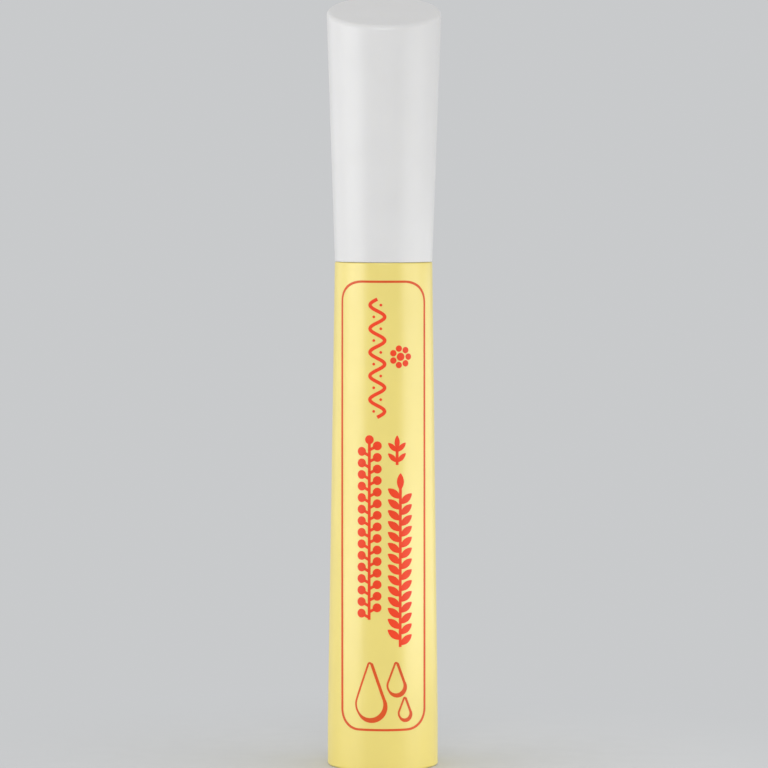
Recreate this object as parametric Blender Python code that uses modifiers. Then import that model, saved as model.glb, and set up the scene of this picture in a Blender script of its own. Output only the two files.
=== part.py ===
"""A cuticle remover pen: a tapered sleeve round a gel vial, and a flared screw cap that carries a wand.

Metres, +Z up. The origin is the centre of the foot, and the cap's slanted top faces -Y.
"""

import math

import bmesh
import bpy
from mathutils import Matrix, Vector

COLLECTION = "cuticle_remover_pen"

# Outside of the sleeve and the cap
SLEEVE_HEIGHT = 0.0725
BASE_RADIUS = 0.00795
BASE_BAND = 0.0060
SEAM_RADIUS = 0.0070
SEAM_GAP = 0.0001
CAP_HEIGHT = 0.03836
CAP_OVERHANG = 0.00037
TOP_SLANT = math.radians(16.7)

# Clearances
SEAT_GAP = 0.0001
VIAL_GAP = 0.0003
RUN_GAP = 0.0002
LEAD_IN = 0.0003

# Sleeve
SLEEVE_WALL = 0.0011
SPIGOT_HEIGHT = 0.0010
LIP_THICKNESS = 0.0016
FOOT_FILLET = 0.0003
SHOULDER_FILLET = 0.0003
SEAM_FILLET = 0.0001

# Base plug
PLUG_RECESS = 0.0005
PLUG_DISC = 0.0014
PLUG_SKIRT = 0.0026
PLUG_WALL = 0.0010
PLUG_BEAD = 0.00025
PLUG_RIM = 0.0012
PLUG_DISH = 0.0004

# Vial
VIAL_WALL = 0.0008
VIAL_FILLET = 0.0009
VIAL_PUNT = 0.0004
NECK_RADIUS = 0.0042
NECK_BORE = 0.0033
NECK_LENGTH = 0.0095
SNAP_BEAD = 0.00028
RIM_ROUNDING = 0.00018

# Wiper and washer
WIPER_FLANGE = 0.0006
WIPER_WALL = 0.0005
WIPER_LENGTH = 0.0090
WIPER_CONE = 0.0026
WIPER_LIP = 0.0003
WASHER_THICKNESS = 0.0008

# Wand
ROD_RADIUS = 0.0019
ROD_WALL = 0.0007
BARB_HEIGHT = 0.00018
BARB_PITCH = 0.0018
BARB_COUNT = 3
TIP_LENGTH = 0.0112
TIP_NECK = 0.0019
TIP_WAIST = 0.0014
TIP_BODY = 0.0056
TIP_SHANK = 0.0050
TIP_NOSE = 0.0016
TIP_CLEARANCE = 0.0066
HOOF_LENGTH = 0.0056
HOOF_FACE_RADIUS = 0.0130
HOOF_THICKNESS = 0.0008

# Cap
CAP_WALL = 0.0011
CAP_ROOF = 0.0020
RIM_FILLET = 0.0006
STOP_WIDTH = 0.0005
THREAD_ROOM = 0.0006
INNER_ROOF = 0.0014
SOCKET_DEPTH = 0.0068
SOCKET_WALL = 0.0013
SOCKET_ROOF = 0.0012
RIB_HEIGHT = 0.00035
RIB_COUNT = 24

# Smoothness of round pieces
LARGE_STEPS = 80
SMALL_STEPS = 48
FILLET_FACET = 0.00028
SMOOTH_ANGLE = math.radians(32)

# Places along the axis that neighbouring pieces share
SLEEVE_TOP = SLEEVE_HEIGHT + SPIGOT_HEIGHT
LIP_UNDERSIDE = SLEEVE_TOP - LIP_THICKNESS
PLUG_TOP = PLUG_RECESS + PLUG_DISC + PLUG_SKIRT
VIAL_BOTTOM = PLUG_TOP + SEAT_GAP
VIAL_FLOOR = VIAL_BOTTOM + VIAL_PUNT + VIAL_WALL
VIAL_SHOULDER = LIP_UNDERSIDE - SEAT_GAP
NECK_TOP = SLEEVE_TOP + NECK_LENGTH
FLANGE_TOP = NECK_TOP + SEAT_GAP + WIPER_FLANGE
WASHER_BOTTOM = FLANGE_TOP + SEAT_GAP
WASHER_TOP = WASHER_BOTTOM + WASHER_THICKNESS
ROOF_UNDERSIDE = WASHER_TOP + SEAT_GAP
ROOF_TOP = ROOF_UNDERSIDE + INNER_ROOF
SOCKET_CEILING = ROOF_UNDERSIDE + SOCKET_DEPTH
TIP_END = VIAL_FLOOR + TIP_CLEARANCE
TIP_SEAT = TIP_END + TIP_LENGTH
ROD_BOTTOM = TIP_SEAT + SEAT_GAP
ROD_TOP = SOCKET_CEILING - SEAT_GAP
CAP_BOTTOM = SLEEVE_HEIGHT + SEAM_GAP
CAP_TOP = CAP_BOTTOM + CAP_HEIGHT

# Radii that neighbouring pieces share. The cap's top stands out a little past the foot.
CAP_TOP_RADIUS = BASE_RADIUS + CAP_OVERHANG
SHELL_BORE = SEAM_RADIUS - CAP_WALL
SPIGOT_RADIUS = SHELL_BORE - RUN_GAP
LIP_BORE = NECK_RADIUS + SEAT_GAP
BARB_RADIUS = ROD_RADIUS + BARB_HEIGHT
SOCKET_BORE = BARB_RADIUS + SEAT_GAP
INNER_CAP_BORE = NECK_RADIUS + THREAD_ROOM
ROD_BORE = ROD_RADIUS - ROD_WALL
WIPER_ORIFICE = ROD_RADIUS + RUN_GAP


def cleared_scene():
    """Empties the scene and returns the collection for the parts and the one for the cutters."""
    for obj in list(bpy.data.objects):
        bpy.data.objects.remove(obj, do_unlink=True)
    parts = bpy.data.collections.new(COLLECTION)
    cutters = bpy.data.collections.new("cutters")
    bpy.context.scene.collection.children.link(parts)
    bpy.context.scene.collection.children.link(cutters)
    return parts, cutters


def plastic(name, colour, roughness, metallic=0.0, transmission=0.0):
    material = bpy.data.materials.new(name)
    material.use_nodes = True
    shader = material.node_tree.nodes["Principled BSDF"]
    shader.inputs["Base Color"].default_value = (*colour, 1.0)
    shader.inputs["Roughness"].default_value = roughness
    shader.inputs["Metallic"].default_value = metallic
    shader.inputs["Transmission Weight"].default_value = transmission
    return material


def sleeve_radius(height):
    """Outer radius of the sleeve: a straight band at the foot, then a taper up to the seam."""
    taper = (height - BASE_BAND) / (SLEEVE_HEIGHT - BASE_BAND)
    return BASE_RADIUS + (SEAM_RADIUS - BASE_RADIUS) * max(taper, 0.0)


def vial_radius(height):
    return sleeve_radius(height) - SLEEVE_WALL - VIAL_GAP


def cap_radius(height):
    """Outer radius of the cap, which flares at one rate from the seam upwards."""
    flare = (height - CAP_BOTTOM) / CAP_HEIGHT
    return SEAM_RADIUS + (CAP_TOP_RADIUS - SEAM_RADIUS) * flare


def room_beside(neighbour, side):
    """How much of a side a fillet may take: all but a little, or half where both ends have one."""
    return side.length * (0.5 if len(neighbour) == 3 else 0.95)


def filleted(corners):
    """The points of a profile whose corners are (radius, height) or (radius, height, fillet)."""
    points = []
    for index, corner in enumerate(corners):
        here = Vector(corner[:2])
        if len(corner) == 2:
            points.append(here)
            continue
        previous, following = corners[index - 1], corners[(index + 1) % len(corners)]
        before = Vector(previous[:2]) - here
        after = Vector(following[:2]) - here
        half = before.angle(after) / 2
        room = min(room_beside(previous, before), room_beside(following, after))
        setback = min(corner[2] / math.tan(half), room)
        radius = setback * math.tan(half)
        inward = (before.normalized() + after.normalized()).normalized()
        centre = here + inward * radius / math.sin(half)
        start = here + before.normalized() * setback - centre
        end = here + after.normalized() * setback - centre
        sweep = start.angle_signed(end)
        steps = max(2, round(radius / FILLET_FACET))
        for step in range(steps + 1):
            points.append(centre + Matrix.Rotation(-sweep * step / steps, 2) @ start)
    return points


def turned(name, corners, steps, is_loop=True):
    """A profile turned about Z. It runs down its outer side, and an open one ends on the axis."""
    points = filleted(corners)
    edges = [(i, i + 1) for i in range(len(points) - 1)]
    if is_loop:
        edges.append((len(points) - 1, 0))
    mesh = bpy.data.meshes.new(name)
    mesh.from_pydata([(point.x, 0.0, point.y) for point in points], edges, [])
    obj = bpy.data.objects.new(name, mesh)
    turn = obj.modifiers.new("turn", "SCREW")
    turn.axis = "Z"
    turn.angle = math.tau
    turn.steps = steps
    turn.render_steps = steps
    turn.use_merge_vertices = True
    turn.merge_threshold = 1e-6
    return obj


def add(obj, collection, material=None):
    collection.objects.link(obj)
    if material:
        obj.data.materials.append(material)
    return obj


def applied(obj):
    """Turns the object's modifiers into plain mesh, which code can then shape further."""
    bpy.context.view_layer.update()
    graph = bpy.context.evaluated_depsgraph_get()
    mesh = bpy.data.meshes.new_from_object(obj.evaluated_get(graph))
    obj.modifiers.clear()
    obj.data = mesh
    mesh.shade_smooth()
    mesh.set_sharp_from_angle(angle=SMOOTH_ANGLE)
    return obj


def cut_off_above(obj, height, slant, fillet=0.0):
    """Cuts a closed mesh with a plane that rises towards +Y, closes the cut and rounds its edge."""
    mesh = bmesh.new()
    mesh.from_mesh(obj.data)
    cut = bmesh.ops.bisect_plane(
        mesh,
        geom=mesh.verts[:] + mesh.edges[:] + mesh.faces[:],
        plane_co=(0.0, 0.0, height),
        plane_no=(0.0, -math.sin(slant), math.cos(slant)),
        clear_outer=True,
    )
    rim = [item for item in cut["geom_cut"] if isinstance(item, bmesh.types.BMEdge)]
    bmesh.ops.edgenet_fill(mesh, edges=rim)
    if fillet:
        steps = max(2, round(fillet / FILLET_FACET))
        bmesh.ops.bevel(mesh, geom=rim, offset=fillet, segments=steps, profile=0.5, affect="EDGES")
    bmesh.ops.recalc_face_normals(mesh, faces=mesh.faces)
    mesh.to_mesh(obj.data)
    mesh.free()


def subtract(obj, cutter):
    cutter.hide_render = True
    cutter.display_type = "WIRE"
    cut = obj.modifiers.new("cut", "BOOLEAN")
    cut.operation = "DIFFERENCE"
    cut.solver = "EXACT"
    cut.object = cutter
    return applied(obj)


def make_outer_sleeve():
    """The yellow sleeve, open at its foot, with a lip round the neck and a spigot inside the cap."""
    foot_bore = BASE_RADIUS - SLEEVE_WALL
    groove = PLUG_RECESS + PLUG_DISC
    corners = [
        (SPIGOT_RADIUS, SLEEVE_TOP, SEAM_FILLET),
        (SPIGOT_RADIUS, SLEEVE_HEIGHT),
        (SEAM_RADIUS, SLEEVE_HEIGHT, SHOULDER_FILLET),
        (BASE_RADIUS, BASE_BAND),
        (BASE_RADIUS, 0.0, FOOT_FILLET),
        (foot_bore, 0.0),
        (foot_bore, groove - PLUG_BEAD),
        (foot_bore + PLUG_BEAD, groove),
        (foot_bore, groove + PLUG_BEAD),
        (foot_bore, BASE_BAND),
        (sleeve_radius(LIP_UNDERSIDE) - SLEEVE_WALL, LIP_UNDERSIDE),
        (LIP_BORE, LIP_UNDERSIDE),
        (LIP_BORE, SLEEVE_TOP),
    ]
    return turned("outer_sleeve", corners, LARGE_STEPS)


def make_base_plug():
    """The cup-shaped plug that snaps into the sleeve's foot and carries the vial, dished below."""
    radius = BASE_RADIUS - SLEEVE_WALL - SEAT_GAP
    disc_top = PLUG_RECESS + PLUG_DISC
    dish_bottom = PLUG_RECESS + PLUG_DISH
    corners = [
        (0.0, disc_top),
        (radius - PLUG_WALL, disc_top),
        (radius - PLUG_WALL, PLUG_TOP),
        (radius, PLUG_TOP),
        (radius, disc_top + PLUG_BEAD),
        (radius + PLUG_BEAD, disc_top),
        (radius, disc_top - PLUG_BEAD),
        (radius, PLUG_RECESS),
        (radius - PLUG_RIM, PLUG_RECESS),
        (radius - PLUG_RIM - PLUG_DISH, dish_bottom),
        (0.0, dish_bottom),
    ]
    return turned("base_plug", corners, SMALL_STEPS, is_loop=False)


def make_inner_vial():
    """The blown vial: a body that follows the sleeve, a shoulder, and a neck with a snap bead."""
    snap = SLEEVE_TOP + SEAT_GAP + SNAP_BEAD
    inner_shoulder = VIAL_SHOULDER - VIAL_WALL
    corners = [
        (0.0, VIAL_FLOOR),
        (vial_radius(VIAL_BOTTOM) - VIAL_WALL, VIAL_BOTTOM + VIAL_WALL, VIAL_FILLET),
        (vial_radius(BASE_BAND) - VIAL_WALL, BASE_BAND),
        (vial_radius(inner_shoulder) - VIAL_WALL, inner_shoulder, VIAL_FILLET),
        (NECK_BORE, inner_shoulder),
        (NECK_BORE, NECK_TOP),
        (NECK_RADIUS, NECK_TOP, RIM_ROUNDING),
        (NECK_RADIUS, snap + SNAP_BEAD),
        (NECK_RADIUS + SNAP_BEAD, snap),
        (NECK_RADIUS, snap - SNAP_BEAD),
        (NECK_RADIUS, VIAL_SHOULDER),
        (vial_radius(VIAL_SHOULDER), VIAL_SHOULDER, VIAL_FILLET),
        (vial_radius(BASE_BAND), BASE_BAND),
        (vial_radius(VIAL_BOTTOM), VIAL_BOTTOM, VIAL_FILLET),
        (0.0, VIAL_BOTTOM + VIAL_PUNT),
    ]
    return turned("inner_vial", corners, SMALL_STEPS, is_loop=False)


def make_wiper():
    """The soft insert in the neck: a flange, a tube, and a cone that ends in a thin lip."""
    outer = NECK_BORE - SEAT_GAP
    inner = outer - WIPER_WALL
    flange_bottom = NECK_TOP + SEAT_GAP
    lip_end = flange_bottom - WIPER_LENGTH
    cone_top = lip_end + WIPER_CONE
    corners = [
        (NECK_RADIUS, FLANGE_TOP, RIM_ROUNDING),
        (NECK_RADIUS, flange_bottom),
        (outer, flange_bottom),
        (outer, cone_top),
        (WIPER_ORIFICE + WIPER_LIP, lip_end),
        (WIPER_ORIFICE, lip_end),
        (inner, cone_top),
        (inner, flange_bottom),
        (inner + WIPER_WALL / 2, FLANGE_TOP),
    ]
    return turned("wiper", corners, SMALL_STEPS)


def make_seal_washer():
    corners = [
        (NECK_RADIUS, WASHER_TOP),
        (NECK_RADIUS, WASHER_BOTTOM),
        (ROD_RADIUS + SEAT_GAP, WASHER_BOTTOM),
        (ROD_RADIUS + SEAT_GAP, WASHER_TOP),
    ]
    return turned("seal_washer", corners, SMALL_STEPS)


def make_rod():
    """The wand's stem: a barbed head for the socket, and a bore in its lower end for the tip."""
    corners = [(0.0, ROD_TOP), (ROD_RADIUS - LEAD_IN, ROD_TOP), (ROD_RADIUS, ROD_TOP - LEAD_IN)]
    for barb in range(BARB_COUNT):
        crest = ROD_TOP - (barb + 1) * BARB_PITCH
        corners.append((BARB_RADIUS, crest))
        corners.append((ROD_RADIUS, crest))
    corners += [
        (ROD_RADIUS, ROD_BOTTOM),
        (ROD_BORE, ROD_BOTTOM),
        (ROD_BORE, ROD_BOTTOM + TIP_SHANK),
        (0.0, ROD_BOTTOM + TIP_SHANK),
    ]
    return turned("rod", corners, SMALL_STEPS, is_loop=False)


def make_applicator_tip(cutters):
    """The soft tip: a shank in the rod's bore, a waist, and a body to be cut to a slanted face."""
    shank = ROD_BORE - SEAT_GAP
    shank_top = TIP_SEAT + TIP_SHANK - SEAT_GAP
    corners = [
        (0.0, shank_top),
        (shank - LEAD_IN, shank_top),
        (shank, shank_top - LEAD_IN),
        (shank, TIP_SEAT),
        (ROD_RADIUS, TIP_SEAT),
        (TIP_WAIST, TIP_SEAT - TIP_NECK, TIP_NECK),
        (ROD_RADIUS, TIP_END + TIP_BODY, TIP_NECK),
        (ROD_RADIUS, TIP_END, TIP_NOSE),
        (0.0, TIP_END),
    ]
    tip = turned("applicator_tip", corners, SMALL_STEPS, is_loop=False)
    face = bpy.data.objects.new("hoof_cutter", bpy.data.meshes.new("hoof_cutter"))
    mesh = bmesh.new()
    bmesh.ops.create_cone(
        mesh,
        cap_ends=True,
        segments=LARGE_STEPS,
        radius1=HOOF_FACE_RADIUS,
        radius2=HOOF_FACE_RADIUS,
        depth=3 * ROD_RADIUS,
        matrix=Matrix.Rotation(math.radians(90), 4, "Y"),
    )
    mesh.to_mesh(face.data)
    mesh.free()
    edge = Vector((0.0, ROD_RADIUS - HOOF_THICKNESS, TIP_END))
    reach = math.asin(HOOF_LENGTH / HOOF_FACE_RADIUS)
    face.location = edge - HOOF_FACE_RADIUS * Vector((0.0, math.cos(reach), math.sin(reach)))
    add(face, cutters)
    return tip, face


def make_inner_cap():
    """The cap's core: a ribbed skirt with room for the thread, a roof, and a socket for the rod."""
    rib_root = SHELL_BORE - SEAT_GAP - RIB_HEIGHT
    skirt_bottom = SLEEVE_TOP + VIAL_GAP
    socket_radius = SOCKET_BORE + SOCKET_WALL
    corners = [
        (0.0, SOCKET_CEILING + SOCKET_ROOF),
        (socket_radius, SOCKET_CEILING + SOCKET_ROOF),
        (socket_radius, ROOF_TOP),
        (rib_root, ROOF_TOP),
        (rib_root, skirt_bottom),
        (INNER_CAP_BORE + LEAD_IN, skirt_bottom),
        (INNER_CAP_BORE, skirt_bottom + LEAD_IN),
        (INNER_CAP_BORE, ROOF_UNDERSIDE),
        (SOCKET_BORE + LEAD_IN, ROOF_UNDERSIDE),
        (SOCKET_BORE, ROOF_UNDERSIDE + LEAD_IN),
        (SOCKET_BORE, SOCKET_CEILING),
        (0.0, SOCKET_CEILING),
    ]
    core = turned("inner_cap", corners, 4 * RIB_COUNT, is_loop=False)
    return core, rib_root


def raise_ribs(obj, root):
    """Moves half of the skirt's outer points outwards, two by two, which leaves upright ribs."""
    for vertex in obj.data.vertices:
        radius = math.hypot(vertex.co.x, vertex.co.y)
        if abs(radius - root) > SEAT_GAP / 2:
            continue
        step = round(math.atan2(vertex.co.y, vertex.co.x) / math.tau * 4 * RIB_COUNT)
        if step % 4 < 2:
            vertex.co.xy *= (root + RIB_HEIGHT) / root


def make_cap_shell(cutters):
    """The flared shell and its stepped bore, both left level and taller than they will be cut."""
    above = CAP_TOP + CAP_WALL
    corners = [
        (0.0, above),
        (cap_radius(above), above),
        (SEAM_RADIUS, CAP_BOTTOM, SEAM_FILLET),
        (0.0, CAP_BOTTOM),
    ]
    shell = turned("cap_shell", corners, LARGE_STEPS, is_loop=False)
    chamber = SHELL_BORE - STOP_WIDTH
    stop = ROOF_TOP + SEAT_GAP
    bore_corners = [
        (0.0, CAP_TOP),
        (chamber, CAP_TOP),
        (chamber, stop),
        (SHELL_BORE, stop),
        (SHELL_BORE, CAP_BOTTOM + LEAD_IN),
        (SHELL_BORE + LEAD_IN + CAP_WALL, CAP_BOTTOM - CAP_WALL),
        (0.0, CAP_BOTTOM - CAP_WALL),
    ]
    bore = turned("bore_cutter", bore_corners, LARGE_STEPS, is_loop=False)
    add(bore, cutters)
    return shell, bore


def main():
    parts, cutters = cleared_scene()
    yellow = plastic("yellow_plastic", (0.91, 0.79, 0.30), 0.35)
    white = plastic("white_plastic", (0.82, 0.82, 0.82), 0.38)
    clear = plastic("clear_plastic", (0.86, 0.88, 0.86), 0.15, transmission=0.85)
    natural = plastic("natural_plastic", (0.80, 0.80, 0.76), 0.45)
    soft_seal = plastic("soft_seal", (0.72, 0.72, 0.70), 0.60)
    silicone = plastic("silicone", (0.86, 0.42, 0.28), 0.55)

    add(make_outer_sleeve(), parts, yellow)
    add(make_base_plug(), parts, yellow)
    add(make_inner_vial(), parts, clear)
    add(make_wiper(), parts, natural)
    add(make_seal_washer(), parts, soft_seal)
    add(make_rod(), parts, white)

    tip, face = make_applicator_tip(cutters)
    add(tip, parts, silicone)
    core, rib_root = make_inner_cap()
    add(core, parts, natural)
    shell, bore = make_cap_shell(cutters)
    add(shell, parts, white)

    for obj in (*parts.objects, bore):
        applied(obj)
    raise_ribs(core, rib_root)
    top_middle = CAP_TOP - CAP_TOP_RADIUS * math.tan(TOP_SLANT)
    cut_off_above(shell, top_middle, TOP_SLANT, RIM_FILLET)
    cut_off_above(bore, top_middle - CAP_ROOF / math.cos(TOP_SLANT), TOP_SLANT)
    subtract(shell, bore)
    subtract(tip, face)

    axis = bpy.data.objects.new("cap_axis", None)
    axis.location = (0.0, 0.0, SLEEVE_HEIGHT)
    parts.objects.link(axis)
    bpy.context.view_layer.update()
    for obj in (shell, core, tip):
        obj.parent = axis
        obj.matrix_parent_inverse = axis.matrix_world.inverted()


main()
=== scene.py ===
import math

import bmesh
import bpy
from mathutils import Matrix, Vector


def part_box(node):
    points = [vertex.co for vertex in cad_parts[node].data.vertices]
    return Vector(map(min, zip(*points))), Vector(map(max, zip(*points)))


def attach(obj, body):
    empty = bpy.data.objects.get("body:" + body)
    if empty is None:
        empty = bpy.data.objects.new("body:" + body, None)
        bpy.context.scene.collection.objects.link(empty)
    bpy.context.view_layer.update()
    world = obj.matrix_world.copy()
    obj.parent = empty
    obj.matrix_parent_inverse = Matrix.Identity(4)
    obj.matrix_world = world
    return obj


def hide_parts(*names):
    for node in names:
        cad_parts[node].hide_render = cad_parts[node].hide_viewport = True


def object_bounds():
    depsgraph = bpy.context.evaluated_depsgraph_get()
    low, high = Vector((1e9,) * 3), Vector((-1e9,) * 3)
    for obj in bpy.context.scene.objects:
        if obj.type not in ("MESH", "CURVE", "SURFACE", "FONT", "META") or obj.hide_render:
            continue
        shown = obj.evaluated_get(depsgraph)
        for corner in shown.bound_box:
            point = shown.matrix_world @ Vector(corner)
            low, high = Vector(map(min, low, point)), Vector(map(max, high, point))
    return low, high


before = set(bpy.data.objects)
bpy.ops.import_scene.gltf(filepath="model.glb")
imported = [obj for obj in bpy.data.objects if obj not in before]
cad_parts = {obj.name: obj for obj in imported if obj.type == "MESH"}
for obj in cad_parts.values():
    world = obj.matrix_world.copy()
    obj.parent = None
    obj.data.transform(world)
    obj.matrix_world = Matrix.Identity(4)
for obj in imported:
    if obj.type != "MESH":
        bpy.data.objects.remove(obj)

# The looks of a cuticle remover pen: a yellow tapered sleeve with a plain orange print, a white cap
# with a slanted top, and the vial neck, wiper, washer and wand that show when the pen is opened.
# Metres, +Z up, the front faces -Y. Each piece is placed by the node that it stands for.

CAD_LOW, CAD_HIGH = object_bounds()

# Camera, set so that the pen lies in the picture as it does in the photograph
CAMERA_PLACE = (0.00009, -0.575, 0.0857)
CAMERA_PITCH = math.radians(3.06)
CAMERA_ROLL = math.radians(0.095)
CAMERA_LENS = 187.5
CAMERA_SENSOR = 36.0
CAMERA_CLIP = 0.01

# Room
BACKGROUND = (0.58, 0.59, 0.60)
WORLD_LIGHT = 0.73
FLOOR_REACH = 6.0
FLOOR_GAP = 0.00002
FLOOR_CLOUDS = 0.004
FLOOR_MOTTLE = 0.015
FADE_START = 0.012
FADE_END = 0.08

# Side boxes: their turn round the pen from the front, and each kind's distance and top
LEFT = -1
RIGHT = 1
FRONT_TURN = math.radians(68)
BACK_TURN = math.radians(114)
BOX_SPREAD = math.radians(23.5)
BOX_BOTTOM = 0.002
TALL_BOX = (0.35, 0.24)
LOW_BOX = (0.12, 0.071)
FOOT_BOX = (0.10, 0.026)

# Fill in front
FILL_PLACE = (0.0, -0.90, 0.55)
FILL_TARGET = (0.0, 0.0, 0.055)
FILL_WIDTH = 0.50
FILL_HEIGHT = 0.40

# Outside of the sleeve and the cap, where a node's box doesn't give the size
SEAM_RADIUS = 0.0070
SEAM_LINE = 0.00003
SEAM_ROUNDING = 0.00008
SHOULDER_ROUNDING = 0.00022
BASE_BAND = 0.0060
BAND_ROUNDING = 0.004
FOOT_ROUNDING = 0.0003
SPIGOT_HEIGHT = 0.0010
SPIGOT_RADIUS = 0.0057
LIP_THICKNESS = 0.0016
LIP_BORE = 0.0043
CAP_FLARE_RADIUS = 0.00832
CAP_FLARE_HEIGHT = 0.03836
TOP_SLANT = math.radians(16.7)
RIM_ROUNDING = 0.0006
RIM_FACETS = 10

# Walls and inner forms
SLEEVE_WALL = 0.0011
PLUG_RECESS = 0.0005
PLUG_DISC = 0.0014
PLUG_WALL = 0.0010
PLUG_BEAD = 0.00025
PLUG_RIM = 0.0012
PLUG_DISH = 0.0004
GATE_RADIUS = 0.0007
GATE_DEPTH = 0.0002
VIAL_WALL = 0.0008
VIAL_GAP = 0.0003
VIAL_PUNT = 0.0004
VIAL_SHOULDER_RADIUS = 0.0009
NECK_RADIUS = 0.0042
NECK_BORE = 0.0033
MOUTH_ROUNDING = 0.00018
SNAP_BEAD = 0.00028
SEAT_GAP = 0.0001
LEAD_IN = 0.0003
WIPER_FLANGE = 0.0006
WIPER_WALL = 0.0005
WIPER_CONE = 0.0026
WIPER_LIP = 0.0003
WIPER_CLEARANCE = 0.0002
WIPER_ROUNDING = 0.0002
CONE_ROUNDING = 0.0006
WASHER_ROUNDING = 0.00022
WASHER_BORE_ROUNDING = 0.00015
ROD_RADIUS = 0.0019
ROD_BORE = 0.0012
BARB_HEIGHT = 0.00018
BARB_PITCH = 0.0018
BARB_COUNT = 3
TIP_SHANK = 0.0050
TIP_NECK = 0.0019
TIP_WAIST = 0.0014
TIP_BODY = 0.0056
TIP_NOSE = 0.0016
TIP_SKIN = 0.00008
HOOF_LENGTH = 0.0056
HOOF_FACE_RADIUS = 0.0130
HOOF_THICKNESS = 0.0008
CAP_WALL = 0.0011
CAP_ROOF = 0.0020
STOP_WIDTH = 0.0005
INNER_ROOF = 0.0014

# Screw thread
THREAD_PITCH = 0.0025
THREAD_TURNS = 1.5
THREAD_ROOT = 0.0011
THREAD_CREST = 0.0005
THREAD_HEIGHT = 0.0004
THREAD_SUNK = 0.00008
THREAD_RUNOUT = math.radians(40)
THREAD_END_SIZE = 0.1
THREAD_ROUNDING = 0.00007
THREAD_STEPS = 96
THREAD_BELOW_MOUTH = 0.0012
CORE_THREAD_RADIUS = 0.0048

# Smoothness
FINE_STEPS = 256
SMALL_STEPS = 128
FILLET_FACET = 0.00006
FILLET_ROOM = 0.95
EDGE_ROUNDING = 0.0001
GUARD = 0.00012
SMOOTH_ANGLE = math.radians(32)

# Sizes of the clouds of colour, patches of gloss and scuffs on plastic, and how light enters it
CLOUD_SIZE = 0.006
GLOSS_SIZE = 0.0025
GLOSS_SPREAD = 0.035
SCUFF_SIZE = 0.0022
SCUFF_STRETCH = (9.0, 9.0, 0.7)
SCUFF_START = 0.60
SCUFF_END = 0.68
SCATTER_RADIUS = (1.0, 0.9, 0.6)
SCATTER_SCALE = 0.0006

# Print, drawn flat in metres across and up, where 0 across is the front
INK_PROUD = 0.000015
INK_DEPTH = 0.00005
INK_STEP = 0.0002
DOT_STEPS = 32
VINE_LINE = 0.00050
STEM_LINE = 0.00042
STEM_FOOT = 0.0003
END_LEAF_OVERLAP = 0.0002
LEAF_FULLNESS = 0.8
LEAF_POINT = 0.00004

FRAME_LINE = 0.00032
UPRIGHT_GROWTH = 0.3
CORNER_STEPS = 16
# Across, height, width and rise of each corner, anticlockwise from the lower right one
FRAME_CORNERS = (
    (0.00675, 0.00594, 0.0033, 0.0029),
    (0.00684, 0.06988, 0.0038, 0.0030),
    (-0.00693, 0.06988, 0.0038, 0.0028),
    (-0.00650, 0.00594, 0.0030, 0.0028),
)

VINE_CENTRE = -0.00088
VINE_BOTTOM = 0.0506
VINE_TOP = 0.0674
VINE_SWING = 0.00106
VINE_WAVES = 5
WAVE_STEPS = 32
VINE_DOT_RADIUS = 0.00020
VINE_DOT_SWING = 0.0005

ROSETTE_CENTRE = (0.0025, 0.0592)
ROSETTE_RING = 0.00120
HEART_RADIUS = 0.00058
PETAL_RADIUS = 0.00046
PETAL_COUNT = 7

SPROUT_CENTRE = 0.0020
SPROUT_BOTTOM = 0.0438
SPROUT_TOP = 0.0462
SPROUT_PAIRS = (0.0442, 0.0457)
SPROUT_LEAN = math.radians(46)
SPROUT_LEAF = (0.0018, 0.00032)
SPROUT_END_LEAF = (0.0020, 0.00034)

LEAF_SPRIG_CENTRE = 0.0025
LEAF_SPRIG_BOTTOM = 0.0178
LEAF_SPRIG_TOP = 0.0404
LEAF_PITCH = 0.00155
LEAF_LEAN = math.radians(52)
SPRIG_LEAF = (0.0023, 0.00049)
SPRIG_END_LEAF = (0.0024, 0.00049)

BERRY_SPRIG_CENTRE = -0.0020
BERRY_SPRIG_BOTTOM = 0.0217
BERRY_SPRIG_TOP = 0.0474
BERRY_PITCH = 0.00165
BERRY_LEAN = math.radians(62)
BERRY_STALK = 0.0013
BERRY_RADIUS = 0.00064

DROP_LINE = 0.00028
DROP_FOOT_STEPS = 32
DROP_TIP_STEPS = 12
SHADOW_SIDE = Vector((0.6, -0.8))
# Across, height, foot radius, tip radius, length and shadow of each drop
DROPS = (
    (-0.0019, 0.0096, 0.0021, 0.00022, 0.0057, 0.0005),
    (0.0019, 0.0123, 0.00125, 0.00016, 0.0031, 0.0004),
    (0.0032, 0.0083, 0.0009, 0.00012, 0.0021, 0.0003),
)

SLEEVE_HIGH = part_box("outer_sleeve")[1]
CAP_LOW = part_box("cap_shell")[0]
FOOT_RADIUS = SLEEVE_HIGH.x
SEAM_HEIGHT = SLEEVE_HIGH.z - SPIGOT_HEIGHT


def sleeve_radius(height):
    """Outer radius of the sleeve: a straight band at the foot, then a taper up to the seam."""
    taper = (height - BASE_BAND) / (SEAM_HEIGHT - BASE_BAND)
    return FOOT_RADIUS + (SEAM_RADIUS - FOOT_RADIUS) * max(taper, 0.0)


def vial_radius(height):
    """Outer radius of the vial, which follows the inside of the sleeve."""
    return sleeve_radius(height) - SLEEVE_WALL - VIAL_GAP


def cap_radius(height):
    """Outer radius of the cap, which flares at one rate from the seam upwards."""
    flare = (height - CAP_LOW.z) / CAP_FLARE_HEIGHT
    return SEAM_RADIUS + (CAP_FLARE_RADIUS - SEAM_RADIUS) * flare


# Turned shapes

def room_beside(neighbour, side):
    """How much of a side a fillet may take: all but a little, or half where both ends have one."""
    return side.length * (0.5 if len(neighbour) == 3 else FILLET_ROOM)


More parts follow.
